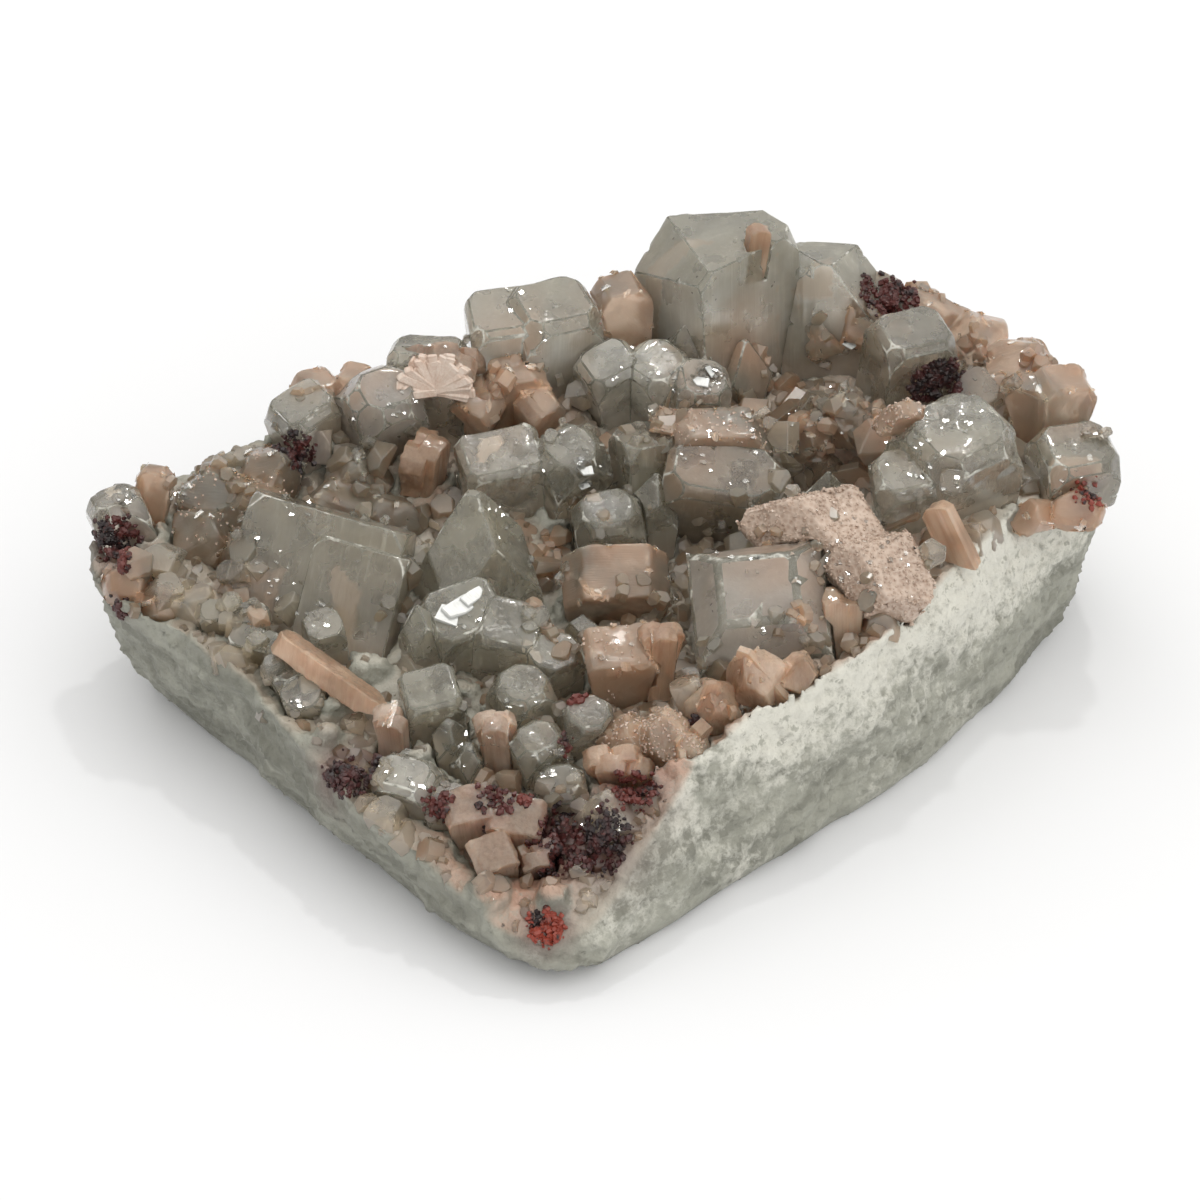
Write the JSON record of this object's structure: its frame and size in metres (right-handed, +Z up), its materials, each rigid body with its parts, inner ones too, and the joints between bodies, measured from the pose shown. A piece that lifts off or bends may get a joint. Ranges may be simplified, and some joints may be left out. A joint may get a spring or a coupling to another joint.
{
  "type": "mineral specimen",
  "caption": "Hand-sized cluster of blocky apophyllite with stilbite sheaves and heulandite tablets on a sawn piece of its rock.",
  "frame": {"origin": "middle of the sawn base, on the surface that the specimen stands on", "axes": "+X along the longest extent, from the thin left tip to the right end; +Z up from the sawn base, the shortest extent; the pointed front edge is towards -Y"},
  "size_m": [0.141, 0.1172, 0.0507],
  "materials": {
    "rock": "granular, broken, matt",
    "apophyllite": "vitreous, cloudy to clear, pearly ends",
    "stilbite": "silky, striated along the blades",
    "heulandite": "pearly",
    "hematite": "granular, dull to sparkling"
  },
  "bodies": {
    "root": {"apophyllite_back_left": "apophyllite", "apophyllite_behind_fan": "apophyllite", "apophyllite_big_cube": "apophyllite", "apophyllite_dark_facets": "apophyllite", "apophyllite_far_back": "apophyllite", "apophyllite_front_block": "apophyllite", "apophyllite_front_group": "apophyllite", "apophyllite_giant": "apophyllite", "apophyllite_green": "apophyllite", "apophyllite_green_face": "apophyllite", "apophyllite_grey_left": "apophyllite", "apophyllite_grey_right": "apophyllite", "apophyllite_hollow_group": "apophyllite", "apophyllite_left_big": "apophyllite", "apophyllite_left_plates": "apophyllite", "apophyllite_left_small": "apophyllite", "apophyllite_left_tip": "apophyllite", "apophyllite_lilac": "apophyllite", "apophyllite_prisms": "apophyllite", "apophyllite_right_clear": "apophyllite", "apophyllite_right_end": "apophyllite", "apophyllite_right_spire": "apophyllite", "apophyllite_roof": "apophyllite", "apophyllite_round_front": "apophyllite", "apophyllite_spire": "apophyllite", "apophyllite_upright": "apophyllite", "apophyllite_white_cluster": "apophyllite", "apophyllite_white_front": "apophyllite", "heulandite_back_block": "heulandite", "heulandite_back_knob": "heulandite", "heulandite_back_rim": "heulandite", "heulandite_cap": "heulandite", "heulandite_centre_back": "heulandite", "heulandite_druse_plate": "heulandite", "heulandite_hollow_mass": "heulandite", "heulandite_left_low": "heulandite", "heulandite_left_mass": "heulandite", "heulandite_left_pair": "heulandite", "heulandite_left_tablet": "heulandite", "heulandite_pink_cube": "heulandite", "heulandite_red_edge": "heulandite", "heulandite_rhomb": "heulandite", "heulandite_right_block": "heulandite", "heulandite_right_masses": "heulandite", "heulandite_triangle": "heulandite", "rock": "rock", "stilbite_boxy_group": "stilbite", "stilbite_column": "stilbite", "stilbite_fan": "stilbite", "stilbite_front_blades": "stilbite", "stilbite_orange_caps": "stilbite", "stilbite_orange_fan": "stilbite", "stilbite_orange_heap": "stilbite", "stilbite_peach_mass": "stilbite", "stilbite_pink_blade": "stilbite", "stilbite_right_blade": "stilbite", "stilbite_salmon_blade": "stilbite", "stilbite_stick": "stilbite", "stilbite_striated": "stilbite", "stilbite_upright": "stilbite"}
  },
  "joints": []
}
